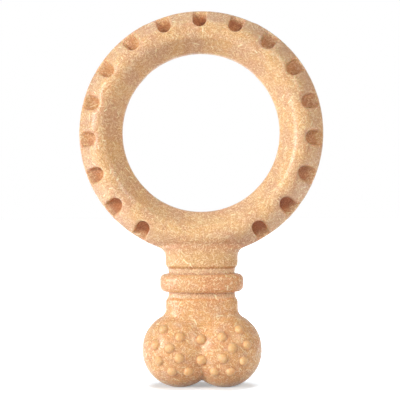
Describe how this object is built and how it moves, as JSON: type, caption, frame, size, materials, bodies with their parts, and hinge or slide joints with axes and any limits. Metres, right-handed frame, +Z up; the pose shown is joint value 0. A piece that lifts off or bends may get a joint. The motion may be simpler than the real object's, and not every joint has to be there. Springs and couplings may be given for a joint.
{
  "type": "dog chew ring with bone-shaped end",
  "caption": "Dog's chew toy: a notched ring grip on a short grooved neck with a raised collar, ending in a bone shape studded with small domed nubs.",
  "frame": {"origin": "on the ground under the middle of the toy, as it stands upright on the feet of its two lobes", "axes": "+Z up through the neck to the ring, -Y towards the viewer of the front face, +X to the viewer's right"},
  "size_m": [0.0976, 0.0284, 0.15],
  "materials": {
    "composite": "satin moulded wood fibre with pale flecks",
    "dowel_wood": "plain turned beech"
  },
  "bodies": {
    "root": {"ring": "composite", "neck_collar": "composite", "bone_end": "composite", "dowel_left": "dowel_wood", "dowel_right": "dowel_wood"}
  },
  "joints": []
}
